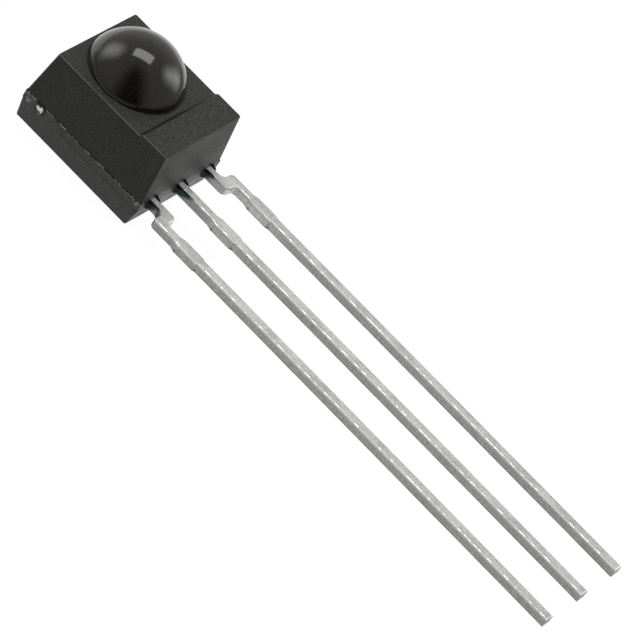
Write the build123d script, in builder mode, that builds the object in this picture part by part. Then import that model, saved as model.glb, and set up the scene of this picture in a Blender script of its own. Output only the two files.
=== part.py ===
from build123d import *
import math
import os

# Infrared receiver module: a moulded package with a domed lens on three flat leads.
# Millimetres. It lies on its back: X across the package, Y along the leads, +Z out of the lens.
# The origin is the middle of the flat back face, and the leads point along -Y.

os.makedirs("parts", exist_ok=True)

# Moulded package, widest where its two halves meet at the lead frame
body_width = 5.55
body_height = 6.95
front_height = 3.92
back_depth = 1.0
side_draft = 3.2
front_top_draft = 7.5
front_bottom_draft = 5.3
back_side_draft = 2.9
back_end_draft = 9.5
corner_chamfer = 0.1
split_lip = 0.03

# Raised band across the bottom of the front face
band_height = 1.35
band_rise = 0.14
band_ramp = 0.14

# Lens, a cap of a sphere that stands on the recessed front face
lens_radius = 2.32
lens_height = 1.73
lens_drop = 2.73

# Lead frame
frame_thickness = 0.42
lead_pitch = 2.54
lead_length = 23.9
lead_width = 0.5
edge_roll = 0.09

# Lead between the package and the cut tie strip
root_pitch = 1.92
root_width = 0.4
neck_width = 0.44
shoulder_drop = 0.72
shoulder_height = 0.57

# Resin squeezed out beside the leads where they leave the package
flash_foot = 0.12
flash_tip = 0.02
flash_length = 0.26
flash_root = 0.1

# Chip knocked out of the package's lower left corner, just behind the lead frame
break_radius = 0.15
break_drop = 0.08

# What is left of the tie strip that joined the leads
web_width = 0.62
web_drop = 2.02
web_height = 1.36
web_ramp = 0.25
web_step = 0.1

# Rounding of each outer lead's double bend: inner crook, outer knee, heel and notch
output_bend = (0.3, 0.3, 0.27, 0.08)
supply_bend = (0.3, 0.22, 0.3, 0.25)

# Parts of the lead frame inside the package
paddle_width = 3.0
paddle_gap = 1.55
tie_bar_width = 0.5
tie_bar_drop = 1.0
tie_bar_proud = 0.03
post_width = 1.2
post_height = 0.8
post_cover = 0.45
lock_hole_diameter = 0.3

# Chips, the adhesive films under them and their pads
photodiode_size = 1.9
photodiode_thickness = 0.28
chip_width = 1.3
chip_height = 1.0
chip_thickness = 0.25
chip_gap = 0.35
bond_film = 0.02
bond_film_margin = 0.04
pad_inset = 0.15

# Gold wires
wire_diameter = 0.03
wire_sides = 6
wire_ball_diameter = 0.09
wire_ball_height = 0.03
wire_rise = 0.22
wire_bend = 0.08

# Levels and places worked out from the sizes above
split_low = back_depth
split_high = back_depth + frame_thickness
band_level = front_height + band_rise
body_top = body_height / 2
body_bottom = -body_height / 2
lens_y = body_top - lens_drop
lens_centre_z = front_height + lens_height - lens_radius
tie_bar_y = body_top - tie_bar_drop
paddle_bottom = body_bottom + paddle_gap
paddle_top = tie_bar_y + tie_bar_width / 2
lead_tip = body_bottom - lead_length
shoulder_top = body_bottom - shoulder_drop
shoulder_bottom = shoulder_top - shoulder_height
web_top = body_bottom - web_drop
web_bottom = web_top - web_height
post_y = body_bottom + post_cover + post_height / 2
post_x = root_pitch - (post_width - root_width) / 4
chip_y = lens_y - photodiode_size / 2 - chip_gap - chip_height / 2
die_level = split_high + bond_film


def lean(depth, angle):
    """Gives how far a drafted wall leans in over a depth."""
    return depth * math.tan(math.radians(angle))


def mould_outline(width, height):
    """Draws the package's outline at one level, with its corners taken off."""
    with BuildSketch() as outline:
        Rectangle(width, height)
        chamfer(outline.vertices(), corner_chamfer)
    return outline.sketch


def blade(x, upper_width, top):
    """Draws a lead's stepped blade from a height down to its tip, about the line at x."""
    upper, web, lower = upper_width / 2, web_width / 2, lead_width / 2
    right_edge = [
        (x + upper, top),
        (x + upper, web_top),
        (x + web, web_top - web_ramp),
        (x + web, web_bottom),
        (x + lower, web_bottom - web_step),
        (x + lower, lead_tip),
    ]
    left_edge = [(2 * x - px, py) for px, py in reversed(right_edge)]
    with BuildSketch() as outline:
        with BuildLine():
            Polyline(*right_edge, *left_edge, close=True)
        make_face()
    return outline.sketch


def outer_lead(side, bend):
    """Draws an outer lead on the side +1 or -1, with its double bend and bonding post."""
    crook, knee, heel, notch = bend
    root_in = root_pitch - root_width / 2
    root_out = root_pitch + root_width / 2
    neck_in = lead_pitch - neck_width / 2
    neck_out = lead_pitch + neck_width / 2
    with BuildSketch() as outline:
        with BuildLine():
            Polyline(
                (side * root_in, post_y),
                (side * root_out, post_y),
                (side * root_out, shoulder_top),
                (side * neck_out, shoulder_top),
                (side * neck_out, web_top),
                (side * neck_in, web_top),
                (side * neck_in, shoulder_bottom),
                (side * root_in, shoulder_bottom),
                close=True,
            )
        make_face()
        for px, py, radius in (
            (root_out, shoulder_top, crook),
            (neck_out, shoulder_top, knee),
            (root_in, shoulder_bottom, heel),
            (neck_in, shoulder_bottom, notch),
        ):
            fillet(outline.vertices().sort_by_distance((side * px, py))[0], radius)
        add(blade(side * lead_pitch, neck_width, shoulder_bottom - notch))
        with Locations((side * post_x, post_y)):
            Rectangle(post_width, post_height)
        with Locations((side * root_pitch, post_y)):
            Circle(lock_hole_diameter / 2, mode=Mode.SUBTRACT)
    return outline.sketch


def flash(x, width):
    """Draws the resin beside a lead of a given width at the package, about the line at x."""
    side = width / 2
    right_edge = [
        (x + side + flash_foot, body_bottom + flash_root),
        (x + side + flash_foot, body_bottom),
        (x + side + flash_tip, body_bottom - flash_length),
    ]
    left_edge = [(2 * x - px, py) for px, py in reversed(right_edge)]
    with BuildSketch() as outline:
        with BuildLine():
            Polyline(*right_edge, *left_edge, close=True)
        make_face()
    return outline.sketch


def stamped(outline):
    """Makes a piece of the lead frame from its outline, with the front edges rolled over."""
    with BuildPart() as piece:
        with BuildSketch(Plane.XY.offset(split_low)):
            add(outline)
        extrude(amount=frame_thickness)
        fillet(piece.faces().sort_by(Axis.Z)[-1].outer_wire().edges(), edge_roll)
    return piece.part


def slab(centre, width, height, level, thickness):
    """Makes a flat rectangular piece that stands on a level, about a point in X and Y."""
    with BuildPart() as piece:
        with BuildSketch(Plane.XY.offset(level)):
            with Locations(centre):
                Rectangle(width, height)
        extrude(amount=thickness)
    return piece.part


def bond_wire(start, start_level, end, end_level):
    """Makes a gold wire that rises from its ball, arches over and comes down at its end."""
    peak = max(start_level, end_level) + wire_rise
    with BuildPart() as wire:
        with BuildLine() as path:
            FilletPolyline(
                (*start, start_level),
                (*start, peak),
                (*end, peak),
                (*end, end_level),
                radius=wire_bend,
            )
        with BuildSketch(Plane.XY.offset(start_level)):
            with Locations(start):
                RegularPolygon(wire_diameter / 2, wire_sides)
        sweep(path=path.line)
        with BuildSketch(Plane.XY.offset(start_level)):
            with Locations(start):
                Circle(wire_ball_diameter / 2)
        extrude(amount=wire_ball_height)
    return wire.part


# Ground lead, one stamping with the paddle that carries the chips and its tie bars
with BuildSketch() as ground_outline:
    add(blade(0, neck_width, paddle_bottom))
    with Locations((0, (paddle_bottom + paddle_top) / 2)):
        Rectangle(paddle_width, paddle_top - paddle_bottom)
    with Locations((0, tie_bar_y)):
        Rectangle(body_width + 2 * tie_bar_proud, tie_bar_width)

# Three leads; the outer two have bonding posts inside the package
with BuildPart() as lead_ground:
    add(stamped(ground_outline.sketch))

with BuildPart() as lead_output:
    add(stamped(outer_lead(-1, output_bend)))

with BuildPart() as lead_supply:
    add(stamped(outer_lead(1, supply_bend)))

# Adhesive films, squeezed out a little past the chips that they hold
with BuildPart() as photodiode_bond_film:
    film_side = photodiode_size + 2 * bond_film_margin
    add(slab((0, lens_y), film_side, film_side, split_high, bond_film))

with BuildPart() as receiver_chip_bond_film:
    film_width = chip_width + 2 * bond_film_margin
    film_height = chip_height + 2 * bond_film_margin
    add(slab((0, chip_y), film_width, film_height, split_high, bond_film))

# Chips: the photodiode lies behind the lens, the receiver chip towards the leads
with BuildPart() as photodiode_die:
    add(slab((0, lens_y), photodiode_size, photodiode_size, die_level, photodiode_thickness))

with BuildPart() as receiver_chip_die:
    add(slab((0, chip_y), chip_width, chip_height, die_level, chip_thickness))

# Bond wires between the pads
photodiode_face = die_level + photodiode_thickness
chip_face = die_level + chip_thickness
chip_pad_x = chip_width / 2 - pad_inset
chip_pad_high = chip_y + chip_height / 2 - pad_inset
chip_pad_low = chip_y - chip_height / 2 + pad_inset
photodiode_pad = (0, lens_y - photodiode_size / 2 + pad_inset)
ground_pad = (paddle_width / 2 - 2 * pad_inset, chip_pad_high)

with BuildPart() as wire_photodiode_to_chip:
    add(bond_wire(photodiode_pad, photodiode_face, (0, chip_pad_high), chip_face))

with BuildPart() as wire_chip_to_output:
    add(bond_wire((-chip_pad_x, chip_pad_low), chip_face, (-post_x, post_y), split_high))

with BuildPart() as wire_chip_to_supply:
    add(bond_wire((chip_pad_x, chip_pad_low), chip_face, (post_x, post_y), split_high))

with BuildPart() as wire_chip_to_ground:
    add(bond_wire((chip_pad_x, chip_pad_high), chip_face, ground_pad, split_high))

inserts = {
    "lead_ground": lead_ground,
    "lead_output": lead_output,
    "lead_supply": lead_supply,
    "photodiode_bond_film": photodiode_bond_film,
    "receiver_chip_bond_film": receiver_chip_bond_film,
    "photodiode_die": photodiode_die,
    "receiver_chip_die": receiver_chip_die,
    "wire_photodiode_to_chip": wire_photodiode_to_chip,
    "wire_chip_to_output": wire_chip_to_output,
    "wire_chip_to_supply": wire_chip_to_supply,
    "wire_chip_to_ground": wire_chip_to_ground,
}

# Package and lens, one moulding round everything above
with BuildPart() as package_body:
    # back half, from the flat back face out to the lead frame
    back_width = body_width - 2 * lean(back_depth, back_side_draft)
    back_height = body_height - 2 * lean(back_depth, back_end_draft)
    with BuildSketch():
        add(mould_outline(back_width, back_height))
    with BuildSketch(Plane.XY.offset(split_low)):
        add(mould_outline(body_width, body_height))
    loft()

    # band that closed round the edge of the lead frame
    with BuildSketch(Plane.XY.offset(split_low)):
        add(mould_outline(body_width, body_height))
    extrude(amount=frame_thickness)

    # front half, up to the level of the raised band
    rise = band_level - split_high
    top_inset = split_lip + lean(rise, front_top_draft)
    bottom_inset = split_lip + lean(rise, front_bottom_draft)
    with BuildSketch(Plane.XY.offset(split_high)):
        add(mould_outline(body_width - 2 * split_lip, body_height - 2 * split_lip))
    with BuildSketch(Plane.XY.offset(band_level)):
        front_width = body_width - 2 * split_lip - 2 * lean(rise, side_draft)
        with Locations((0, (bottom_inset - top_inset) / 2)):
            add(mould_outline(front_width, body_height - top_inset - bottom_inset))
    loft()

    # upper front face, recessed behind the raised band
    band_edge = body_bottom + bottom_inset + band_height
    with BuildSketch(Plane.YZ):
        with BuildLine():
            Polyline(
                (band_edge, band_level + band_rise),
                (band_edge, band_level),
                (band_edge + band_ramp, front_height),
                (body_height, front_height),
                (body_height, band_level + band_rise),
                close=True,
            )
        make_face()
    extrude(amount=body_width, both=True, mode=Mode.SUBTRACT)

    # lens, turned from the part of its arc that stands above a level inside the package
    lens_root = front_height - band_rise
    root_angle = math.degrees(math.asin((lens_root - lens_centre_z) / lens_radius))
    with BuildSketch(Plane.XZ.offset(-lens_y)):
        with BuildLine():
            arc = CenterArc((0, lens_centre_z), lens_radius, root_angle, 90 - root_angle)
            Polyline(arc @ 1, (0, lens_root), arc @ 0)
        make_face()
    revolve(axis=Axis((0, lens_y, 0), (0, 0, 1)))

    # resin flash on the leads' flanks, up to where their front edges roll over
    with BuildSketch(Plane.XY.offset(split_low)):
        add(flash(0, neck_width))
        for side in (-1, 1):
            add(flash(side * root_pitch, root_width))
    extrude(amount=frame_thickness - edge_roll)

    # chipped corner
    with Locations((-body_width / 2, body_bottom, split_low - break_drop)):
        Sphere(break_radius, mode=Mode.SUBTRACT)

    for insert in inserts.values():
        add(insert.part, mode=Mode.SUBTRACT)

for name, piece in {"package_body": package_body, **inserts}.items():
    piece.part.label = name
    export_step(piece.part, f"parts/{name}.step")
    print(name, round(piece.part.volume, 3), piece.part.bounding_box())
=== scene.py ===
import logging
import math
from dataclasses import dataclass
from enum import Enum
from functools import reduce
from operator import or_
from typing import Any, Callable, Iterable, Mapping, Sequence

import bmesh
import bpy
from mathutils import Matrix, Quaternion, Vector, noise

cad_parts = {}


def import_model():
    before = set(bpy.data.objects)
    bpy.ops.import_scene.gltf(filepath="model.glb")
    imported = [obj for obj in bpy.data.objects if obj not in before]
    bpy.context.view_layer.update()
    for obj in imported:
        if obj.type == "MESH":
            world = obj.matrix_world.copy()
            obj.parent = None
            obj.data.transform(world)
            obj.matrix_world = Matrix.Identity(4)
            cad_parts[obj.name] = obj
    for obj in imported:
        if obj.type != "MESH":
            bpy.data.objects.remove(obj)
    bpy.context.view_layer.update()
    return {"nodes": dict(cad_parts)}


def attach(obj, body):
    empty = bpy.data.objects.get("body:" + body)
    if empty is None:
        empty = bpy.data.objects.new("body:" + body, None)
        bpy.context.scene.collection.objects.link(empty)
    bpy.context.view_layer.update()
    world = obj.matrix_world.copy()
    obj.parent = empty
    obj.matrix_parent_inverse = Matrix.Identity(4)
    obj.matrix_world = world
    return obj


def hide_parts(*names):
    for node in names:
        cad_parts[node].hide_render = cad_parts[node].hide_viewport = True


# Infrared receiver module: the finish of the moulded package, its lens and its tinned leads.
# Metres, in the part's own frame: X across the package, leads along -Y, +Z out of the lens.

MM = 0.001
MERGE_DISTANCE = 0.0002 * MM
LEVEL_TOLERANCE = 0.002 * MM
WHITE = (1.0, 1.0, 1.0, 1.0)

# Sizes that the package and the finishes both read.
PACKAGE_HEIGHT = 6.95 * MM
PACKAGE_BOTTOM = -PACKAGE_HEIGHT / 2
FRAME_LOW = 1.0 * MM
FRAME_THICKNESS = 0.42 * MM
FRAME_HIGH = FRAME_LOW + FRAME_THICKNESS
ROOT_PITCH = 1.92 * MM

Triple = tuple[float, float, float]
Colour = Triple
Span = tuple[float, float]
log = logging.getLogger("receiver")


class Slot(Enum):
    """Material slots of the part's record."""

    EPOXY = "moulded_epoxy"
    LEAD = "tinned_lead"
    FILM = "bond_film"
    SILICON = "silicon"
    GOLD = "gold_wire"


def lean(depth: float, angle: float) -> float:
    """Gives how far a drafted wall leans in over a depth.

    Args:
        depth: Depth of the wall.
        angle: Draft of the wall, in degrees.

    Returns:
        The sideways run of the wall, in the unit of the depth.
    """
    return depth * math.tan(math.radians(angle))


class Socket:
    """A shader value that Python's arithmetic turns into Math nodes."""

    def __init__(self, shader: "Shader", output: bpy.types.NodeSocket) -> None:
        """Wraps an output socket of a shader's node."""
        self.shader = shader
        self.output = output

    def math(self, operation: str, *others: "Socket | float") -> "Socket":
        """Adds a Math node whose first value is this one.

        Args:
            operation: Name of the Math node's operation.
            others: The node's other values.

        Returns:
            The node's result.
        """
        values = dict(enumerate((self, *others)))
        return self.shader.node("ShaderNodeMath", {"operation": operation}, values)

    def __add__(self, other: "Socket | float") -> "Socket":
        """Adds a value."""
        return self.math("ADD", other)

    def __sub__(self, other: "Socket | float") -> "Socket":
        """Takes a value away."""
        return self.math("SUBTRACT", other)

    def __rsub__(self, other: float) -> "Socket":
        """Takes this value away from a number."""
        return self.math("MULTIPLY", -1.0) + other

    def __mul__(self, other: "Socket | float") -> "Socket":
        """Multiplies by a value."""
        return self.math("MULTIPLY", other)

    def __or__(self, other: "Socket | float") -> "Socket":
        """Joins two masks by the larger of their values."""
        return self.math("MAXIMUM", other)

    def __abs__(self) -> "Socket":
        """Drops the sign."""
        return self.math("ABSOLUTE")

    __radd__ = __add__
    __rmul__ = __mul__

    def hypotenuse(self, other: "Socket") -> "Socket":
        """Gives the distance that this run and another one at right angles make."""
        return (self * self + other * other).math("SQRT")

    def swing(self, reach: float) -> "Socket":
        """Turns a noise about 0.5 into one about 0, of a chosen reach."""
        return (self - 0.5) * reach


class Shader:
    """The nodes of one material or of the world."""

    def __init__(self, tree: bpy.types.NodeTree) -> None:
        """Empties a node tree to start a shader in it."""
        self.tree = tree
        tree.nodes.clear()

    def node(
        self,
        kind: str,
        settings: Mapping[str, Any] | None = None,
        inputs: Mapping[int | str, Any] | None = None,
        output: int | str = 0,
    ) -> Socket:
        """Adds a node, its settings first and then its sockets.

        Args:
            kind: Blender's name of the node's type.
            settings: Values of the node's own properties.
            inputs: Values or links of its sockets, by name or number.
            output: The socket that is handed back.

        Returns:
            The chosen output.
        """
        made = self.tree.nodes.new(kind)
        for name, value in (settings or {}).items():
            setattr(made, name, value)
        for key, value in (inputs or {}).items():
            if isinstance(value, Socket):
                self.tree.links.new(value.output, made.inputs[key])
            else:
                made.inputs[key].default_value = value
        return Socket(self, made.outputs[output] if len(made.outputs) else None)

    def place(self) -> Socket:
        """Gives the point on the surface, in the part's own frame."""
        return self.node("ShaderNodeTexCoord", output="Object")

    def facing(self) -> Socket:
        """Gives the direction that the surface faces."""
        return self.node("ShaderNodeNewGeometry", output="Normal")

    def axis(self, vector: Socket, name: str) -> Socket:
        """Gives one axis of a vector, named X, Y or Z."""
        return self.node("ShaderNodeSeparateXYZ", inputs={0: vector}, output=name)

    def axes(self, vector: Socket) -> tuple[Socket, ...]:
        """Gives the three axes of a vector."""
        return tuple(self.axis(vector, name) for name in "XYZ")

    def vector_math(self, operation: str, first: Socket, second: Any, output: int | str = 0) -> Socket:
        """Adds a Vector Math node of two vectors."""
        return self.node("ShaderNodeVectorMath", {"operation": operation}, {0: first, 1: second}, output)

    def cloud(
        self,
        size: float,
        detail: float = 2.0,
        roughness: float = 0.5,
        stretch: Triple = (1, 1, 1),
    ) -> Socket:
        """Makes a noise over the surface.

        Args:
            size: Size of its largest grains.
            detail: Number of finer layers.
            roughness: Strength of the finer layers.
            stretch: Length of the grains along each axis, in sizes.

        Returns:
            The noise, mostly from 0.3 to 0.7.
        """
        place = self.place()
        if stretch != (1, 1, 1):
            scale = tuple(1 / length for length in stretch)
            place = self.node("ShaderNodeMapping", inputs={"Vector": place, "Scale": scale})
        values = {"Vector": place, "Scale": 1 / size, "Detail": detail, "Roughness": roughness}
        return self.node("ShaderNodeTexNoise", inputs=values)

    def step(self, value: Socket, start: float, end: float) -> Socket:
        """Rises smoothly over a span of a value, or falls where its end is the lower.

        Args:
            value: The value.
            start: The value at which the step is 0.
            end: The value at which the step is 1.

        Returns:
            The step, from 0 to 1.
        """
        places = {"Value": value, "From Min": min(start, end), "From Max": max(start, end)}
        rising = self.node("ShaderNodeMapRange", {"interpolation_type": "SMOOTHSTEP"}, places)
        return rising if start < end else 1 - rising

    def under(self, value: Socket, limit: float, soft: float) -> Socket:
        """Gives 1 where a value is below a limit, with a soft edge on either side of it."""
        return self.step(value, limit + soft, limit - soft)

    def colour_between(self, share: Socket, first: Colour | Socket, second: Colour | Socket) -> Socket:
        """Mixes two colours.

        Args:
            share: Share of the second colour.
            first: The colour where the share is 0.
            second: The colour where the share is 1.

        Returns:
            The mixed colour.
        """
        values = {"Factor": share}
        for name, colour in (("A", first), ("B", second)):
            values[name] = colour if isinstance(colour, Socket) else (*colour, 1.0)
        return self.node("ShaderNodeMix", {"data_type": "RGBA"}, values, "Result")

    def bump(self, height: Socket, depth: float) -> Socket:
        """Turns a height into the surface's normal, for a relief that is as deep as given."""
        return self.node("ShaderNodeBump", inputs={"Strength": 1.0, "Distance": depth, "Height": height})


@dataclass(frozen=True)
class Coat:
    """A colour that comes out where a value passes through a span."""

    colour: Colour
    start: float
    end: float
    cover: float = 1.0

    def over(
        self, shader: Shader, under: Colour | Socket, value: Socket, where: Socket | float = 1.0
    ) -> Socket:
        """Lays the coat over a colour.

        Args:
            shader: The material's shader.
            under: The colour below.
            value: The value that brings the coat out.
            where: How far the coat may show.

        Returns:
            The colour with the coat on it.
        """
        share = shader.step(value, self.start, self.end) * self.cover * where
        return shader.colour_between(share, under, self.colour)


class Finish:
    """A material that is painted by nodes."""

    name: str

    def paint(self, shader: Shader) -> Mapping[str, Any]:
        """Gives what goes into the Principled shader's sockets."""
        raise NotImplementedError

    def material(self) -> bpy.types.Material:
        """Makes the material.

        Returns:
            A material with one Principled shader.
        """
        made = bpy.data.materials.new(self.name)
        made.use_nodes = True
        shader = Shader(made.node_tree)
        surface = shader.node("ShaderNodeBsdfPrincipled", inputs=self.paint(shader))
        shader.node("ShaderNodeOutputMaterial", inputs={"Surface": surface})
        return made


@dataclass(frozen=True)
class MattMould(Finish):
    """The package's moulded faces, with the fine grain of a spark-eroded mould."""

    name: str = "matt_moulded_epoxy"
    front_colour: Colour = (0.0125, 0.0122, 0.0105)
    back_colour: Colour = (0.076, 0.074, 0.068)
    # Painted light on the end faces that face -Y, paler again towards the back half.
    end_lit_colour: Colour = (0.036, 0.0355, 0.033)
    end_lit_foot: Coat = Coat((0.082, 0.081, 0.076), 2.5 * MM, FRAME_HIGH)
    end_on_back: float = 0.7
    fleck_colour: Colour = (0.068, 0.067, 0.060)
    back_fleck_colour: Colour = (0.15, 0.148, 0.138)
    fleck_span: Span = (0.48, 0.68)
    # Colour of the dark pits in the grain, and of the painted shade.
    pit_and_shade_colour: Colour = (0.002, 0.002, 0.002)
    pit_span: Span = (0.50, 0.34)
    pits_on_back: float = 0.65
    # Painted highlight on the rounded front edges, broken up by a blotch.
    edge_highlight: Coat = Coat((0.15, 0.15, 0.15), 0.45, 0.8)
    # Painted highlight on the flakes of the torn upper line.
    flake_highlight_colour: Colour = (0.62, 0.62, 0.61)
    chalk_colour: Colour = (0.46, 0.47, 0.48)
    grain: float = 0.062 * MM
    grain_depth: float = 0.005 * MM
    blotch: float = 1.5 * MM
    front_roughness: float = 0.55
    back_roughness: float = 0.45
    blotch_roughness: float = 0.25
    edge_gloss: float = 0.2
    ramp_roughness: float = 0.4
    edge_lean: Span = (0.2, 0.5)
    end_lean: Span = (-0.7, -0.95)
    # Where the painted shade on the ramp below the recess lies.
    ramp_lean: Span = (0.25, 0.55)
    ramp_rise: Span = (0.3, 0.6)
    ramp_top: Span = (-1.4 * MM, -1.5 * MM)
    ramp_fade: Span = (4.5 * MM, -2.0 * MM)
    side_wall: float = 2.65 * MM
    side_depth: float = 0.045 * MM
    flake_length: float = 0.26 * MM
    flake_height: float = 0.045 * MM
    line_edge: Span = (0.063 * MM, 0.036 * MM)
    seam_edge: Span = (0.0495 * MM, 0.0225 * MM)
    flake_span: Span = (0.51, 0.58)
    gap_span: Span = (0.54, 0.47)
    seam_span: Span = (0.32, 0.5)
    seam_reach: Span = (1.6 * MM, 0.8 * MM)
    seam_cover: float = 0.8
    # Each mark's place along Y, its height and its radius.
    chalk_marks: tuple[Triple, ...] = (
        (3.15 * MM, 1.10 * MM, 0.20 * MM),
        (3.30 * MM, 1.37 * MM, 0.13 * MM),
        (2.90 * MM, 1.36 * MM, 0.13 * MM),
        (2.45 * MM, 0.95 * MM, 0.13 * MM),
        (-3.25 * MM, 1.28 * MM, 0.12 * MM),
    )
    chalk_grain: float = 0.14 * MM
    chalk_core: float = 0.3
    chalk_span: Span = (0.40, 0.52)
    chalk_cover: float = 0.9
    # Painted shade round the lead roots: a soft halo and a sharper collar.
    root_level: float = 1.25 * MM
    root_grain: float = 0.15 * MM
    root_wander: float = 0.5 * MM
    halo_reach: Span = (0.5 * MM, 0.22 * MM)
    halo_cover: float = 0.9
    collar_shift: float = 0.1 * MM
    collar_width: float = 0.36 * MM
    collar_level: float = 1.45 * MM
    collar_slope: float = 0.25
    collar_wander: tuple[float, float] = (0.3, 0.2)
    collar_edge: float = 0.03 * MM
    bottom_edge: Span = (PACKAGE_BOTTOM + 0.4 * MM, PACKAGE_BOTTOM + 0.3 * MM)

    def _witness(self, shader: Shader, place: Socket) -> tuple[Socket, Socket]:
        """Gives the torn lines that the mould's halves leave on the two sides, with painted highlights
        where the torn flash catches light and painted shade in its gaps and under the lower ledge.

        Args:
            shader: The material's shader.
            place: The point on the surface.

        Returns:
            Where painted highlights stand along the upper line, and where painted shade darkens the two
            lines.
        """
        across, along, level = shader.axes(place)
        at_side = shader.step(abs(across), self.side_wall - self.side_depth, self.side_wall)
        torn = shader.cloud(self.flake_length, detail=4.0, roughness=0.7)
        wander = shader.cloud(2 * self.flake_length).swing(self.flake_height)
        line = shader.step(abs(level + wander - FRAME_HIGH), *self.line_edge) * at_side
        below = shader.under(level, FRAME_HIGH, self.flake_height)
        flakes = line * below * shader.step(torn, *self.flake_span)
        # Painted shadow under the lower ledge, as a broken dark line.
        seam = shader.step(abs(level + wander * 0.5 - FRAME_LOW), *self.seam_edge) * at_side
        seam = seam * shader.step(along, *self.seam_reach) * shader.step(torn, *self.seam_span)
        return flakes, line * shader.step(torn, *self.gap_span) | seam * self.seam_cover

    def _chalk(self, shader: Shader, place: Socket) -> Socket:
        """Gives the whitish smears by the stub of the tie bar and at the lower corner.

        Args:
            shader: The material's shader.
            place: The point on the surface.

        Returns:
            Where the smears lie on the left side.
        """
        across, along, level = shader.axes(place)
        at_left = shader.step(across, self.side_depth - self.side_wall, -self.side_wall)
        marks = (
            shader.step((along - y).hypotenuse(level - z), size, self.chalk_core * size)
            for y, z, size in self.chalk_marks
        )
        ragged = shader.step(shader.cloud(self.chalk_grain, detail=4.0, roughness=0.7), *self.chalk_span)
        return at_left * reduce(or_, marks) * ragged * self.chalk_cover

    def _root_shade(self, shader: Shader, place: Socket) -> Socket:
        """Gives the painted shade round each lead root, where the lead shades the package and a shadowed
        gap lies beside it.

        Args:
            shader: The material's shader.
            place: The point on the surface.

        Returns:
            Where a soft halo and a sharper collar of painted shade cover the bottom end.
        """
        across, along, level = shader.axes(place)
        beside = across - (across * (1 / ROOT_PITCH)).math("ROUND") * ROOT_PITCH
        ragged = shader.cloud(self.root_grain, detail=3.0).swing(self.root_wander)
        distance = beside.hypotenuse(level - self.root_level)
        halo = shader.step(distance + ragged, *self.halo_reach) * self.halo_cover
        side_wander, top_wander = self.collar_wander
        reach = abs(beside - self.collar_shift) + ragged * side_wander
        top = level - beside * self.collar_slope + ragged * top_wander
        collar = shader.under(reach, self.collar_width, self.collar_edge)
        collar = collar * shader.under(top, self.collar_level, self.collar_edge)
        return (halo | collar) * shader.step(along, *self.bottom_edge)

    def _ramp_shade(self, shader: Shader, place: Socket, facing: Socket) -> Socket:
        """Gives the ramp below the recess, which is made duller and painted with shade.

        Args:
            shader: The material's shader.
            place: The point on the surface.
            facing: The direction that the surface faces.

        Returns:
            Where the ramp is painted dark, less so towards the right.
        """
        slope = shader.step(shader.axis(facing, "Y"), *self.ramp_lean)
        slope = slope * shader.step(shader.axis(facing, "Z"), *self.ramp_rise)
        low = shader.step(shader.axis(place, "Y"), *self.ramp_top)
        return slope * low * shader.step(shader.axis(place, "X"), *self.ramp_fade)

    def paint(self, shader: Shader) -> Mapping[str, Any]:
        """Paints a flecked grain, a paler back half, painted light on the end faces, painted highlights on
        the front edges and along the torn upper line, and painted shade round the lead roots, on the ramp
        and in the torn lines.

        Args:
            shader: The material's shader.

        Returns:
            What goes into the Principled shader's sockets.
        """
        place, facing = shader.place(), shader.facing()
        level = shader.axis(place, "Z")
        back_half = shader.step(level, FRAME_HIGH + LEVEL_TOLERANCE, FRAME_HIGH)
        grain = shader.cloud(self.grain, detail=3.0, roughness=0.7)
        blotch = shader.cloud(self.blotch, detail=4.0, roughness=0.6)
        colour = shader.colour_between(back_half, self.front_colour, self.back_colour)
        # Painted light: the end faces are paler, and paler again towards the back.
        at_end = shader.step(shader.axis(facing, "Y"), *self.end_lean)
        end = self.end_lit_foot.over(shader, self.end_lit_colour, level)
        colour = shader.colour_between(at_end * (1 - back_half * (1 - self.end_on_back)), colour, end)
        flecks = shader.colour_between(back_half, self.fleck_colour, self.back_fleck_colour)
        colour = shader.colour_between(shader.step(grain, *self.fleck_span), colour, flecks)
        pits = shader.step(grain, *self.pit_span) * (1 - back_half * (1 - self.pits_on_back))
        colour = shader.colour_between(pits, colour, self.pit_and_shade_colour)
        # Painted highlight on the rounded front edges, which are also made glossier.
        edge = shader.step(abs(shader.axis(facing, "X")), *self.edge_lean)
        edge = edge * shader.step(shader.axis(facing, "Z"), *self.edge_lean)
        colour = self.edge_highlight.over(shader, colour, blotch + grain * 0.5, edge)
        colour = shader.colour_between(self._chalk(shader, place), colour, self.chalk_colour)
        ramp = self._ramp_shade(shader, place, facing)
        flakes, gaps = self._witness(shader, place)
        # Painted shade round the lead roots, on the ramp and in the torn lines.
        for dark in (self._root_shade(shader, place) | ramp, gaps):
            colour = shader.colour_between(dark, colour, self.pit_and_shade_colour)
        roughness = self.front_roughness + back_half * (self.back_roughness - self.front_roughness)
        roughness = roughness + blotch.swing(self.blotch_roughness)
        return {
            "Base Color": shader.colour_between(flakes, colour, self.flake_highlight_colour),
            "Roughness": roughness - edge * self.edge_gloss + ramp * self.ramp_roughness,
            "IOR": 1.5,
            "Specular Tint": (1.0, 0.99, 0.93, 1.0),
            "Normal": shader.bump(grain, self.grain_depth),
        }


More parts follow.
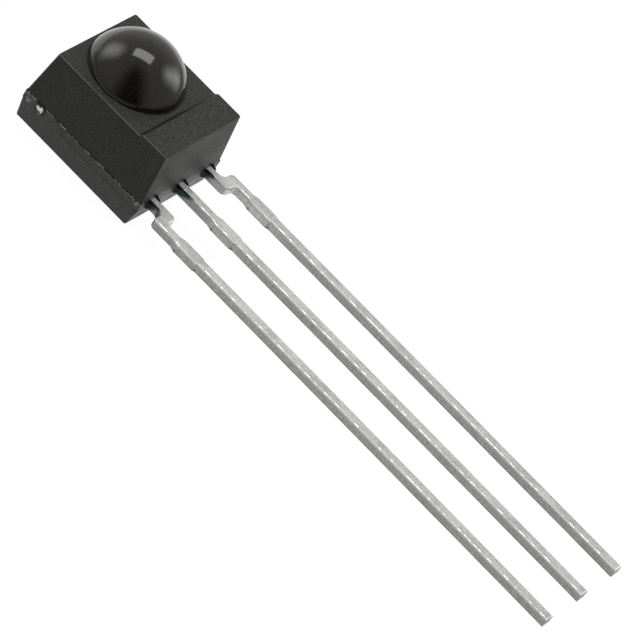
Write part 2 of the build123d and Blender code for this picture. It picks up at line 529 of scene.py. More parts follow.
@dataclass(frozen=True)
class PolishedLens(Finish):
    """The lens, moulded against a polished cavity: near black, with a soft deep gloss."""

    name: str = "polished_lens_epoxy"
    colour: Colour = (0.0105, 0.0098, 0.0082)
    speck_colour: Colour = (0.050, 0.030, 0.025)
    speck: float = 0.07 * MM
    speck_span: Span = (0.5, 0.75)
    speck_roughness: float = 0.12
    roughness: float = 0.09
    ripple: float = 0.35 * MM
    ripple_depth: float = 0.0008 * MM

    def paint(self, shader: Shader) -> Mapping[str, Any]:
        """Paints a slight ripple and a few dull specks in the gloss.

        Args:
            shader: The material's shader.

        Returns:
            What goes into the Principled shader's sockets.
        """
        speck = shader.step(shader.cloud(self.speck, roughness=0.7), *self.speck_span)
        return {
            "Base Color": shader.colour_between(speck, self.colour, self.speck_colour),
            "Roughness": self.roughness + speck * self.speck_roughness,
            "IOR": 1.55,
            "Specular Tint": (1.0, 1.0, 0.97, 1.0),
            "Normal": shader.bump(shader.cloud(self.ripple), self.ripple_depth),
        }


@dataclass(frozen=True)
class FlashResin(Finish):
    """The thin glassy resin that squeezed out along the leads."""

    name: str = "flash_resin"
    colour: Colour = (0.003, 0.004, 0.005)
    bright: Coat = Coat((0.010, 0.020, 0.026), 0.45, 0.7)
    roughness: float = 0.35
    ripple: float = 0.12 * MM
    ripple_depth: float = 0.01 * MM

    def paint(self, shader: Shader) -> Mapping[str, Any]:
        """Paints an uneven near black with a cold tinge.

        Args:
            shader: The material's shader.

        Returns:
            What goes into the Principled shader's sockets.
        """
        ripple = shader.cloud(self.ripple, detail=3.0)
        return {
            "Base Color": self.bright.over(shader, self.colour, ripple),
            "Roughness": self.roughness,
            "Specular IOR Level": 0.2,
            "Normal": shader.bump(ripple, self.ripple_depth),
        }


@dataclass(frozen=True)
class TinPlate(Finish):
    """Satin tin on the stamped leads, with sheared flanks that resin stains at their roots."""

    name: str = "satin_tin_plate"
    colour: Colour = (0.75, 0.75, 0.72)
    dull: Coat = Coat((0.59, 0.59, 0.56), 0.4, 0.65)
    flank_colour: Colour = (0.49, 0.48, 0.46)
    flank_cover: float = 0.9
    sheared: Coat = Coat((0.40, 0.395, 0.375), 0.4, 0.62)
    pitted: Coat = Coat((0.36, 0.35, 0.335), 0.5, 0.34, 0.45)
    bare: Coat = Coat((0.93, 0.93, 0.91), 0.5, 0.66, 0.5)
    # Painted highlight on the rolled edge, made partly non-metallic so that the paint shows.
    roll_highlight_colour: Colour = (0.95, 0.95, 0.93)
    roll_cover: float = 0.9
    glint_colour: Colour = (1.0, 1.0, 0.99)
    glint_span: Span = (0.50, 0.60)
    # Painted shade along the flanks' lower edge.
    low_edge_shade: Coat = Coat((0.20, 0.195, 0.18), 0.35, 0.6, 0.8)
    # Painted shade on the flanks near the package, deeper on some leads.
    near_shade_colour: Colour = (0.12, 0.13, 0.13)
    stain_colour: Colour = (0.004, 0.008, 0.013)
    stain_sheen: Colour = (0.020, 0.088, 0.112)
    sheen_span: Span = (0.42, 0.62)
    nick_and_rim_colour: Colour = (0.02, 0.02, 0.019)
    roughness: float = 0.42
    pit_roughness: float = 0.3
    roll_roughness: float = 0.7
    roll_paint: float = 0.6
    glint_roughness: float = 0.22
    cloudy: float = 0.5 * MM
    streak: float = 0.07 * MM
    sheen: float = 0.35 * MM
    glint: float = 0.16 * MM
    pit: float = 0.06 * MM
    pit_depth: float = 0.006 * MM
    wave: float = 0.3 * MM
    wave_depth: float = 0.012 * MM
    roll_relief: float = 0.5
    flank_lean: Span = (0.6, 0.9)
    film_lean: Span = (0.1, 0.45)
    core_lean: Span = (0.8, 0.95)
    roll_lean: Span = (0.25, 0.45)
    roll_rise: Span = (0.02, 0.12)
    crown_lean: Span = (0.1, 0.25)
    crown_rise: Span = (0.55, 0.75)
    low_edge_height: Span = (FRAME_LOW + 0.08 * MM, FRAME_LOW + 0.01 * MM)
    # Values of the output, ground and supply leads.
    stain_lengths: Triple = (0.73 * MM, 0.96 * MM, 0.62 * MM)
    near_shade_shares: Triple = (0.25, 0.55, 0.40)
    stain_back_share: float = 0.25
    stain_grain: float = 0.16 * MM
    stain_wander: float = 0.5 * MM
    stain_end: Span = (PACKAGE_BOTTOM - 0.14 * MM, PACKAGE_BOTTOM + 0.22 * MM)
    stain_start: Span = (PACKAGE_BOTTOM + 0.3 * MM, PACKAGE_BOTTOM + 0.2 * MM)
    stain_thin: Span = (PACKAGE_BOTTOM + 0.55 * MM, PACKAGE_BOTTOM + 0.1 * MM)
    near_shade_end: Span = (PACKAGE_BOTTOM - 3.2 * MM, PACKAGE_BOTTOM - 0.96 * MM)
    cut_places: tuple[float, float] = (-5.76 * MM, -6.94 * MM)
    cut_size: float = 0.1 * MM
    cut_core: float = 0.3
    cut_level: float = FRAME_LOW + 0.07 * MM
    cut_cover: float = 0.6
    rim_grain: float = 0.12 * MM
    between_leads: float = 1.0 * MM
    tie_bar_place: float = 2.475 * MM
    tie_bar_width: float = 0.5 * MM
    stub_rim_span: Span = (0.40, 0.62)
    stub_rim_wander: float = 1.6

    def _by_lead(self, shader: Shader, across: Socket, values: Triple) -> Socket:
        """Gives each lead its own value.

        Args:
            shader: The material's shader.
            across: The place across the package.
            values: Values of the output, ground and supply leads.

        Returns:
            The value of the lead that the point is on.
        """
        output, ground, supply = values
        limit = self.between_leads
        past_output = shader.step(across, -limit - MERGE_DISTANCE, -limit)
        past_ground = shader.step(across, limit, limit + MERGE_DISTANCE)
        return output + past_output * (ground - output) + past_ground * (supply - ground)

    def _stain(self, shader: Shader, place: Socket) -> tuple[Socket, Socket, Socket]:
        """Gives the film of resin on the leads, longer along their front edge, and the painted shade near
        the package.

        Args:
            shader: The material's shader.
            place: The point on the surface.

        Returns:
            Where the film covers the metal, where it thins out, and where painted shade darkens the metal
            near the package.
        """
        across, along, level = shader.axes(place)
        height = (level - FRAME_LOW) * (1 / FRAME_THICKNESS)
        share = height * (1 - self.stain_back_share) + self.stain_back_share
        ragged = shader.cloud(self.stain_grain, detail=4.0, roughness=0.6).swing(self.stain_wander)
        end = along + self._by_lead(shader, across, self.stain_lengths) * share + ragged
        covered = shader.step(end, *self.stain_end) * shader.step(along, *self.stain_start)
        near_shade = shader.step(along, *self.near_shade_end) * self._by_lead(shader, across, self.near_shade_shares)
        return covered, shader.step(end, *self.stain_thin), near_shade

    def _cuts(self, shader: Shader, place: Socket) -> Socket:
        """Gives the dark nicks on the flanks' back edge, where the tie strip was cut away.

        Args:
            shader: The material's shader.
            place: The point on the surface.

        Returns:
            Where the nicks lie.
        """
        along, level = shader.axis(place, "Y"), shader.axis(place, "Z")
        near = abs(along - self.cut_places[0]).math("MINIMUM", abs(along - self.cut_places[1]))
        ragged = near + shader.cloud(self.rim_grain).swing(self.cut_size)
        at_back = shader.step(level, self.cut_level + self.cut_size, self.cut_level)
        return shader.step(ragged, self.cut_size, self.cut_core * self.cut_size) * at_back * self.cut_cover

    def _stub_rim(self, shader: Shader, place: Socket, at_tie_bar: Socket) -> Socket:
        """Gives the dark rim round the tie bar's cut ends.

        Args:
            shader: The material's shader.
            place: The point on the surface.
            at_tie_bar: Where the tie bar is.

        Returns:
            Where the rim is dark.
        """
        centre = (0, self.tie_bar_place, (FRAME_LOW + FRAME_HIGH) / 2)
        halves = (1, 2 / self.tie_bar_width, 2 / FRAME_THICKNESS)
        local = shader.vector_math("SUBTRACT", place, centre)
        local = shader.vector_math("MULTIPLY", local, halves)
        edge = abs(shader.axis(local, "Y")) | abs(shader.axis(local, "Z"))
        edge = edge + shader.cloud(self.rim_grain, detail=3.0).swing(self.stub_rim_wander)
        return shader.step(edge, *self.stub_rim_span) * at_tie_bar

    def paint(self, shader: Shader) -> Mapping[str, Any]:
        """Paints cloudy pitted plating, darker flanks, resin where it ran out, painted highlights on the
        rolled edge and its crown, and painted shade near the package and along the flanks' lower edge.

        Args:
            shader: The material's shader.

        Returns:
            What goes into the Principled shader's sockets.
        """
        place, facing = shader.place(), shader.facing()
        side, upwards = abs(shader.axis(facing, "X")), shader.axis(facing, "Z")
        flank = shader.step(side, *self.flank_lean)
        roll = shader.step(side, *self.roll_lean) * shader.step(upwards, *self.roll_rise)
        crown = shader.step(side, *self.crown_lean) * shader.step(upwards, *self.crown_rise)
        at_tie_bar = shader.step(shader.axis(place, "Y"), 0, self.tie_bar_width)
        cloudy = shader.cloud(self.cloudy, detail=4.0, stretch=(1, 3, 1))
        pits = shader.cloud(self.pit, detail=3.0, roughness=0.7)
        streaks = shader.cloud(self.streak, detail=3.0, stretch=(1, 1, 10))
        dashes = shader.step(shader.cloud(self.glint, stretch=(1, 2.5, 1)), *self.glint_span) * crown
        colour = self.dull.over(shader, self.colour, cloudy)
        sheared = self.sheared.over(shader, self.flank_colour, streaks)
        colour = shader.colour_between(flank * self.flank_cover, colour, sheared)
        colour = self.pitted.over(shader, colour, pits)
        colour = self.bare.over(shader, colour, pits)
        # Painted highlight on the rolled edge.
        colour = shader.colour_between(roll * self.roll_cover, colour, self.roll_highlight_colour)
        colour = shader.colour_between(dashes, colour, self.glint_colour)
        # Painted shade along the flanks' lower edge.
        at_back = shader.step(shader.axis(place, "Z"), *self.low_edge_height) * flank
        colour = self.low_edge_shade.over(shader, colour, cloudy, at_back)
        film, thin, near_shade = self._stain(shader, place)
        film = film * shader.step(side, *self.film_lean)
        # Painted shade on the flanks near the package.
        colour = shader.colour_between(near_shade * flank * (1 - roll), colour, self.near_shade_colour)
        colour = shader.colour_between(self._cuts(shader, place) * flank, colour, self.nick_and_rim_colour)
        core = shader.step(side, *self.core_lean) * at_tie_bar
        colour = shader.colour_between(core, colour, self.bare.colour)
        sheen = shader.step(shader.cloud(self.sheen), *self.sheen_span)
        stained = shader.colour_between(sheen * 0.5 + thin * 0.5, self.stain_colour, self.stain_sheen)
        colour = shader.colour_between(film, colour, stained)
        stub_rim = self._stub_rim(shader, place, at_tie_bar)
        relief = pits * self.pit_depth + shader.cloud(self.wave) * self.wave_depth
        roughness = self.roughness + pits.swing(self.pit_roughness)
        roughness = roughness + (roll | crown) * (self.roll_roughness - self.roughness)
        return {
            "Base Color": shader.colour_between(stub_rim, colour, self.nick_and_rim_colour),
            "Metallic": (1 - film) * (1 - stub_rim) * (1 - roll * self.roll_paint),
            "Roughness": roughness - dashes * (self.roll_roughness - self.glint_roughness),
            "Normal": shader.bump(relief * (1 - roll * self.roll_relief), 1.0),
        }


@dataclass(frozen=True)
class Grained(Finish):
    """A plain finish with fine grain, for the pieces that the package encloses."""

    name: str
    colour: Colour
    shade: Colour
    grain: float
    roughness: float
    metallic: float
    shade_span: Span = (0.35, 0.65)
    grain_relief: float = 0.05
    grain_roughness: float = 0.15

    def paint(self, shader: Shader) -> Mapping[str, Any]:
        """Paints two shades mixed by a grain that also bumps the surface.

        Args:
            shader: The material's shader.

        Returns:
            What goes into the Principled shader's sockets.
        """
        grain = shader.cloud(self.grain, detail=3.0)
        share = shader.step(grain, *self.shade_span)
        return {
            "Base Color": shader.colour_between(share, self.colour, self.shade),
            "Metallic": self.metallic,
            "Roughness": self.roughness + grain.swing(self.grain_roughness),
            "Normal": shader.bump(grain, self.grain_relief * self.grain),
        }


def object_from(
    bm: bmesh.types.BMesh, name: str, materials: Sequence[bpy.types.Material]
) -> bpy.types.Object:
    """Turns a finished bmesh into an object at the origin.

    Args:
        bm: The mesh, which is freed.
        name: Name of the piece.
        materials: Materials in the order of the faces' material numbers.

    Returns:
        The new object, linked to the scene.
    """
    mesh = bpy.data.meshes.new(name)
    bm.to_mesh(mesh)
    bm.free()
    for material in materials:
        mesh.materials.append(material)
    made = bpy.data.objects.new(name, mesh)
    bpy.context.scene.collection.objects.link(made)
    return made


def at_level(vertex: bmesh.types.BMVert, level: float) -> bool:
    """Says whether a vertex lies at a height."""
    return abs(vertex.co.z - level) < LEVEL_TOLERANCE


def all_at_level(item: bmesh.types.BMEdge | bmesh.types.BMFace, level: float) -> bool:
    """Says whether an edge or a face lies at a height."""
    return all(at_level(v, level) for v in item.verts)


def unique(items: Iterable[Any]) -> list[Any]:
    """Drops what repeats and keeps the order of the rest."""
    return list(dict.fromkeys(items))


def region(faces: Sequence[bmesh.types.BMFace]) -> list[Any]:
    """Gives faces with their corners and edges."""
    return [*unique(v for f in faces for v in f.verts), *unique(e for f in faces for e in f.edges), *faces]


@dataclass
class Package:
    """The moulded package with its lens and parting lines."""

    width: float = 5.55 * MM
    front_height: float = 3.92 * MM
    side_draft: float = 3.2
    front_top_draft: float = 7.5
    front_bottom_draft: float = 5.3
    back_side_draft: float = 2.9
    back_end_draft: float = 9.5
    corner_radius: float = 0.1 * MM
    corner_steps: int = 5
    band_height: float = 1.35 * MM
    band_rise: float = 0.14 * MM
    band_ramp: float = 0.14 * MM
    lens_radius: float = 2.32 * MM
    lens_height: float = 1.73 * MM
    lens_drop: float = 2.73 * MM
    lens_turns: int = 160
    lens_rings: int = 56
    edge_round: float = 0.045 * MM
    back_edge_round: float = 0.06 * MM
    round_steps: int = 3
    round_angle: float = 25.0
    lip: float = 0.03 * MM
    lip_long_edge: float = 1.0 * MM
    lip_cuts: int = 110
    lip_grain: float = 0.16 * MM
    lip_fine_grain: float = 0.05 * MM
    lip_fine_share: float = 0.6
    lip_wear: float = 0.45
    lip_most_wear: float = 0.95
    lip_bottom_wear: float = 0.96
    edge_roll: float = 0.09 * MM
    root_width: float = 0.4 * MM
    neck_width: float = 0.44 * MM
    flash_foot: float = 0.15 * MM
    flash_tip: float = 0.02 * MM
    flash_length: float = 0.26 * MM
    flash_back_share: float = 0.35
    flash_root: float = 0.1 * MM
    flash_cuts: int = 7
    flash_grain: float = 0.1 * MM
    flash_rough: float = 0.5
    break_radius: float = 0.15 * MM
    break_drop: float = 0.08 * MM
    break_depth: float = 0.75
    break_grain: float = 0.06 * MM
    break_rough: float = 0.5
    # Places of the cuts through the knocked corner, in its radii.
    break_side_cuts: tuple[float, ...] = (0.35, 0.7, 1)
    break_level_cuts: tuple[float, ...] = (-1, -0.5, 0, 0.5, 1)
    split_smooth_angle: float = 1.0
    smooth_angle: float = 32.0

    @property
    def band_level(self) -> float:
        """Height of the raised band's face."""
        return self.front_height + self.band_rise

    @property
    def lens_middle(self) -> Vector:
        """Centre of the lens's sphere."""
        drop = self.lens_height - self.lens_radius
        return Vector((0, PACKAGE_HEIGHT / 2 - self.lens_drop, self.front_height + drop))

    @property
    def front_insets(self) -> tuple[float, float]:
        """How far the front face's top and bottom edges stand in at the band's level."""
        rise = self.band_level - FRAME_HIGH
        drafts = (self.front_top_draft, self.front_bottom_draft)
        return tuple(self.lip + lean(rise, draft) for draft in drafts)

    @property
    def band_edge(self) -> float:
        """Height along Y of the raised band's upper edge."""
        return PACKAGE_BOTTOM + self.front_insets[1] + self.band_height

    def _raise(
        self,
        bm: bmesh.types.BMesh,
        top: bmesh.types.BMFace,
        level: float,
        width: float,
        low: float,
        high: float,
    ) -> bmesh.types.BMFace:
        """Extrudes the top face to a level and fits it to a width and to its ends along Y.

        Args:
            bm: The mesh.
            top: The face that is extruded.
            level: Height of the new face.
            width: Width of the new face.
            low: Lower end of the new face along Y.
            high: Upper end of the new face along Y.

        Returns:
            The new top face.
        """
        made = bmesh.ops.extrude_face_region(bm, geom=[top], use_keep_orig=len(bm.faces) == 1)
        verts = [g for g in made["geom"] if isinstance(g, bmesh.types.BMVert)]
        xs, ys = [v.co.x for v in verts], [v.co.y for v in verts]
        size = (width / (max(xs) - min(xs)), (high - low) / (max(ys) - min(ys)), 1)
        bmesh.ops.scale(bm, vec=size, verts=verts)
        ys = [v.co.y for v in verts]
        shift = (low + high) / 2 - (min(ys) + max(ys)) / 2
        bmesh.ops.translate(bm, vec=(0, shift, level - verts[0].co.z), verts=verts)
        return next(g for g in made["geom"] if isinstance(g, bmesh.types.BMFace))

    def _shell(self, bm: bmesh.types.BMesh) -> None:
        """Builds the two drafted halves and the band between them.

        Args:
            bm: The empty mesh.
        """
        half = PACKAGE_HEIGHT / 2
        back_end = lean(FRAME_LOW, self.back_end_draft)
        back_width = self.width - 2 * lean(FRAME_LOW, self.back_side_draft)
        grid = bmesh.ops.create_grid(bm, x_segments=1, y_segments=1, size=0.5)
        bmesh.ops.scale(bm, vec=(back_width, 2 * (half - back_end), 1), verts=grid["verts"])
        bmesh.ops.bevel(
            bm, geom=grid["verts"], affect="VERTICES", offset=self.corner_radius, offset_type="OFFSET",
            segments=self.corner_steps, profile=0.5, material=-1, clamp_overlap=True,
        )
        bm.faces.ensure_lookup_table()
        top_inset, bottom_inset = self.front_insets
        lip = self.lip
        front_width = self.width - 2 * lip - 2 * lean(self.band_level - FRAME_HIGH, self.side_draft)
        top = bm.faces[0]
        for level, width, low, high in (
            (FRAME_LOW, self.width - lip, -half + lip / 2, half - lip / 2),
            (FRAME_LOW, self.width, -half, half),
            (FRAME_HIGH, self.width, -half, half),
            (FRAME_HIGH, self.width - 2 * lip, -half + lip, half - lip),
            (self.band_level, front_width, -half + bottom_inset, half - top_inset),
        ):
            top = self._raise(bm, top, level, width, low, high)
        bmesh.ops.recalc_face_normals(bm, faces=bm.faces[:])

    def _recess(self, bm: bmesh.types.BMesh) -> None:
        """Cuts the upper front face back behind the raised band, with a short ramp.

        Args:
            bm: The package's mesh.
        """
        foot = Vector((0, self.band_edge + self.band_ramp, self.front_height))
        out = Vector((0, self.band_rise, self.band_ramp)).normalized()
        bmesh.ops.bisect_plane(
            bm, geom=region(bm.faces[:]), dist=MERGE_DISTANCE, plane_co=foot, plane_no=(0, 0, 1)
        )
        above = [f for f in bm.faces if f.calc_center_median().z > foot.z + LEVEL_TOLERANCE]
        bmesh.ops.bisect_plane(bm, geom=region(above), dist=MERGE_DISTANCE, plane_co=foot, plane_no=out)
        doomed = [
            f
            for f in bm.faces
            if f.calc_center_median().z > foot.z + LEVEL_TOLERANCE
            and (f.calc_center_median() - foot).dot(out) > LEVEL_TOLERANCE
        ]
        bmesh.ops.delete(bm, geom=doomed, context="FACES")
        rim = [e for e in bm.edges if e.is_boundary]
        ends = unique(
            v
            for e in rim
            for v in e.verts
            if at_level(v, foot.z) and abs(v.co.y - foot.y) < LEVEL_TOLERANCE
        )
        ridge = bm.edges.new(sorted(ends, key=lambda v: v.co.x))
        flat = [e for e in rim if all_at_level(e, foot.z)]
        slope = [e for e in rim if e not in flat]
        for outline in (flat, slope):
            bmesh.ops.contextual_create(bm, geom=[*outline, ridge])
        bmesh.ops.recalc_face_normals(bm, faces=bm.faces[:])

    def _round_edges(self, bm: bmesh.types.BMesh) -> None:
        """Rounds the edges of the back face and of the stepped front.

        Args:
            bm: The package's mesh.
        """
        limit = math.radians(self.round_angle)

        def sharp(test: Callable[[bmesh.types.BMVert], bool]) -> list[bmesh.types.BMEdge]:
            """Finds the sharp edges whose two ends pass a test."""
            return [
                e
                for e in bm.edges
                if e.is_manifold and e.calc_face_angle() > limit and all(map(test, e.verts))
            ]

        for edges, size in (
            (sharp(lambda v: at_level(v, 0)), self.back_edge_round),
            (sharp(lambda v: v.co.z > self.front_height - LEVEL_TOLERANCE), self.edge_round),
        ):
            bmesh.ops.bevel(
                bm, geom=edges, affect="EDGES", offset=size, offset_type="OFFSET",
                segments=self.round_steps, profile=0.5, material=-1, clamp_overlap=True,
            )

    def _lens(self, bm: bmesh.types.BMesh) -> None:
        """Turns the lens and sets it into the recessed front face.

        Args:
            bm: The package's mesh.
        """
        middle = self.lens_middle
        rise = self.front_height - middle.z
        start_angle = math.asin(rise / self.lens_radius)
        base = math.sqrt(self.lens_radius**2 - rise**2)
        known = set(bm.edges)
        first = bm.verts.new((base, middle.y, self.front_height))
        bmesh.ops.spin(
            bm, geom=[first], cent=middle, axis=(0, -1, 0), angle=math.pi / 2 - start_angle,
            steps=self.lens_rings, use_merge=False,
        )
        arc = [e for e in bm.edges if e not in known]
        bmesh.ops.spin(
            bm, geom=[*arc, *unique(v for e in arc for v in e.verts)], cent=middle, axis=(0, 0, 1),
            angle=2 * math.pi, steps=self.lens_turns, use_merge=True,
        )
        turned = [e for e in bm.edges if e not in known]
        verts = unique(v for e in turned for v in e.verts)
        bmesh.ops.remove_doubles(bm, verts=verts, dist=MERGE_DISTANCE)
        turned = [e for e in bm.edges if e not in known]
        for face in unique(f for e in turned for f in e.link_faces):
            face.material_index = 1
        fronts = (f for f in bm.faces if f.material_index == 0 and all_at_level(f, self.front_height))
        front = max(fronts, key=lambda f: f.calc_area())
        outline = list(front.edges)
        bmesh.ops.delete(bm, geom=[front], context="FACES_ONLY")
        circle = [e for e in turned if e.is_boundary]
        bmesh.ops.triangle_fill(bm, edges=[*outline, *circle], use_beauty=True, normal=(0, 0, 1))
        bmesh.ops.recalc_face_normals(bm, faces=bm.faces[:])

    def _rough_lip(self, bm: bmesh.types.BMesh) -> None:
        """Leaves the ragged witness line that the mould's two halves leave round the package.

        Args:
            bm: The package's mesh.
        """
        long_edges = [
            e
            for e in bm.edges
            if e.calc_length() > self.lip_long_edge
            and (all_at_level(e, FRAME_LOW) or all_at_level(e, FRAME_HIGH))
        ]
        bmesh.ops.subdivide_edges(bm, edges=long_edges, cuts=self.lip_cuts, use_grid_fill=True)
        outermost = 1 - 2 * LEVEL_TOLERANCE / self.width
        for vertex in bm.verts:
            side = Vector((vertex.co.x / self.width, vertex.co.y / PACKAGE_HEIGHT)) * 2
            if not at_level(vertex, FRAME_HIGH) or max(abs(side.x), abs(side.y)) < outermost:
                continue
            fine = self.lip_fine_share * noise.noise(vertex.co / self.lip_fine_grain)
            wear = self.lip_wear + noise.noise(vertex.co / self.lip_grain) + fine
            inward = self.lip * min(max(wear, 0.0), self.lip_most_wear)
            if side.y < -1 + self.lip / PACKAGE_HEIGHT:
                inward = self.lip * self.lip_bottom_wear
            if abs(side.x) > abs(side.y):
                vertex.co.x -= math.copysign(inward, side.x)
            else:
                vertex.co.y -= math.copysign(inward, side.y)

    def _flash(self, bm: bmesh.types.BMesh) -> None:
        """Adds the slivers of resin that squeezed out beside the leads at the package.

        Args:
            bm: The package's mesh.
        """
        roots = ((-ROOT_PITCH, self.root_width), (0, self.neck_width), (ROOT_PITCH, self.root_width))
        for x, width in roots:
            for side in (-1, 1):
                self._sliver(bm, x, side, width / 2)

    def _sliver(self, bm: bmesh.types.BMesh, x: float, side: int, flank: float) -> None:
        """Adds one sliver of resin, thick at the package and ragged towards its tip.

        Args:
            bm: The package's mesh, which the sliver is added to.
            x: Place of the lead's middle line.
            side: The lead's left side, -1, or its right side, +1.
            flank: Distance from the middle line to the lead's flank.
        """
        length = self.flash_length + self.flash_root
        thick = FRAME_THICKNESS - self.edge_roll if side < 0 else FRAME_THICKNESS + self.flash_tip
        sliver = bmesh.new()
        verts = bmesh.ops.create_cube(sliver, size=1)["verts"]
        bmesh.ops.scale(sliver, vec=(1, length, thick), verts=verts)
        middle = (0, PACKAGE_BOTTOM + self.flash_root - length / 2, FRAME_LOW + thick / 2)
        bmesh.ops.translate(sliver, vec=middle, verts=verts)
        long_edges = [e for e in sliver.edges if abs(e.verts[0].co.y - e.verts[1].co.y) > length / 2]
        bmesh.ops.subdivide_edges(sliver, edges=long_edges, cuts=self.flash_cuts, use_grid_fill=True)
        for vertex in sliver.verts:
            outer = vertex.co.x * side > 0
            height = (vertex.co.z - FRAME_LOW) / thick
            if vertex.co.y < PACKAGE_BOTTOM:
                share = self.flash_back_share + (1 - self.flash_back_share) * height
                vertex.co.y = PACKAGE_BOTTOM + (vertex.co.y - PACKAGE_BOTTOM) * share
            run = min(max((PACKAGE_BOTTOM - vertex.co.y) / self.flash_length, 0.0), 1.0)
            reach = self.flash_foot + (self.flash_tip - self.flash_foot) * math.sqrt(run)
            if run > 0:
                rough = noise.noise((vertex.co + Vector((x, 0, 0))) / self.flash_grain)
                reach *= 1 + self.flash_rough * rough
            vertex.co.x = x + side * (flank + (reach if outer else -self.flash_tip / 2))
        for face in sliver.faces:
            face.material_index = 2
        bmesh.ops.recalc_face_normals(sliver, faces=sliver.faces[:])
        mesh = bpy.data.meshes.new("sliver")
        sliver.to_mesh(mesh)
        sliver.free()
        bm.from_mesh(mesh)
        bpy.data.meshes.remove(mesh)

    def _knock_corner(self, bm: bmesh.types.BMesh) -> None:
        """Knocks the chip out of the lower left corner, just behind the lead frame.

        Args:
            bm: The package's mesh.
        """
        middle = Vector((-self.width / 2, PACKAGE_BOTTOM, FRAME_LOW - self.break_drop))
        reach = Vector((1, 1, 1)) * self.break_radius
        for axis, places in enumerate((self.break_side_cuts, self.break_side_cuts, self.break_level_cuts)):
            along = Vector((0, 0, 0))
            along[axis] = 1
            for place in places:
                near = [f for f in bm.faces if self._reaches(f, middle - reach, middle + reach)]
                bmesh.ops.bisect_plane(
                    bm, geom=region(near), dist=MERGE_DISTANCE, plane_no=along,
                    plane_co=middle + along * place * self.break_radius,
                )
        inward = Vector((1, 1, 0)).normalized()
        for vertex in bm.verts:
            share = (vertex.co - middle).length / self.break_radius
            if share < 1:
                rough = 1 + self.break_rough * noise.noise(vertex.co / self.break_grain)
                vertex.co += inward * (self.break_depth * self.break_radius * math.sqrt(1 - share) * rough)

    @staticmethod
    def _reaches(face: bmesh.types.BMFace, low: Vector, high: Vector) -> bool:
        """Says whether a face's box meets the box between two corners."""
        spans = [sorted(v.co[axis] for v in face.verts) for axis in range(3)]
        return all(span[0] < high[axis] and span[-1] > low[axis] for axis, span in enumerate(spans))

    def _shade(self, bm: bmesh.types.BMesh) -> None:
        """Keeps the drafted walls flat and the lens and roundings smooth.

        Args:
            bm: The package's mesh.
        """
        for face in bm.faces:
            face.smooth = True
        for edge in bm.edges:
            at_split = all_at_level(edge, FRAME_LOW) or all_at_level(edge, FRAME_HIGH)
            limit = math.radians(self.split_smooth_angle if at_split else self.smooth_angle)
            edge.smooth = edge.is_manifold and edge.calc_face_angle() < limit

    def build(self, *materials: bpy.types.Material) -> bpy.types.Object:
        """Builds the package.

        Args:
            materials: Materials of the moulded faces, of the lens and of the flash.

        Returns:
            The piece that stands for the package's solid.
        """
        bm = bmesh.new()
        self._shell(bm)
        self._recess(bm)
        self._round_edges(bm)
        self._lens(bm)
        self._rough_lip(bm)
        self._knock_corner(bm)
        self._flash(bm)
        self._shade(bm)
        made = object_from(bm, "moulded_package", materials)
        evened = made.modifiers.new("even_faces", "WEIGHTED_NORMAL")
        evened.keep_sharp = True
        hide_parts("package_body")
        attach(made, "root")
        return made


@dataclass
class Conductors:
    """The three leads and the pieces that the package encloses, as the construction made them."""

    lead: Finish = TinPlate()
    film: Finish = Grained(
        "silver_filled_adhesive", (0.55, 0.54, 0.51), (0.42, 0.41, 0.39), 0.03 * MM, 0.45, 0.7
    )
    chip: Finish = Grained("silicon_chip", (0.07, 0.08, 0.11), (0.05, 0.055, 0.09), 0.08 * MM, 0.2, 0.3)
    wire: Finish = Grained("gold_wire", (0.95, 0.66, 0.25), (0.86, 0.57, 0.2), 0.01 * MM, 0.28, 1.0)

    def dress(self, nodes: Mapping[str, bpy.types.Object]) -> None:
        """Gives each piece the finish of its material slot.

        Args:
            nodes: The frame's pieces by name.
        """
        finishes = {
            Slot.LEAD: self.lead,
            Slot.FILM: self.film,
            Slot.SILICON: self.chip,
            Slot.GOLD: self.wire,
        }
        materials = {slot.value: finish.material() for slot, finish in finishes.items()}
        for name, node in nodes.items():
            for slot in node.material_slots:
                if slot.name in materials:
                    slot.material = materials[slot.name]
                    log.info("dressed %s in %s", name, slot.material.name)


@dataclass(frozen=True)
class Patch:
    """A soft four-sided patch of the surroundings, such as a softbox or the camera's dark shape.

    Its angles are in degrees: the azimuth from +X towards +Y, and the roll about the direction
    that it is seen in.
    """

    azimuth: float
    elevation: float
    half_width: float
    half_height: float
    softness: float
    roll: float = 0.0
    taper: float = 0.0

    def _aims(self) -> tuple[Vector, Vector, Vector]:
        """Works out where the patch is.

        Returns:
            The directions of its middle, of its right side and of its top.
        """
        azimuth, elevation = math.radians(self.azimuth), math.radians(self.elevation)
        level = Vector((math.cos(azimuth), math.sin(azimuth), 0))
        middle = level * math.cos(elevation) + Vector((0, 0, math.sin(elevation)))
        right = Vector((-level.y, level.x, 0))
        turn = Quaternion(middle, math.radians(self.roll))
        return middle, turn @ right, turn @ middle.cross(right)

    def share(self, shader: Shader, direction: Socket) -> Socket:
        """Gives how much of the patch is seen in a direction.

        Args:
            shader: The world's shader.
            direction: The direction that is looked in.

        Returns:
            1 in the patch, fading to 0 past its edges.
        """
        ahead, beside, above = (
            shader.vector_math("DOT_PRODUCT", direction, aim, "Value") for aim in self._aims()
        )
        across, up = beside.math("ARCTAN2", ahead), above.math("ARCTAN2", ahead)
        width, height, soft = (math.radians(a) for a in (self.half_width, self.half_height, self.softness))
        between_sides = shader.under(abs(across) + up * self.taper, width, soft)
        return between_sides * shader.under(abs(up), height, soft)


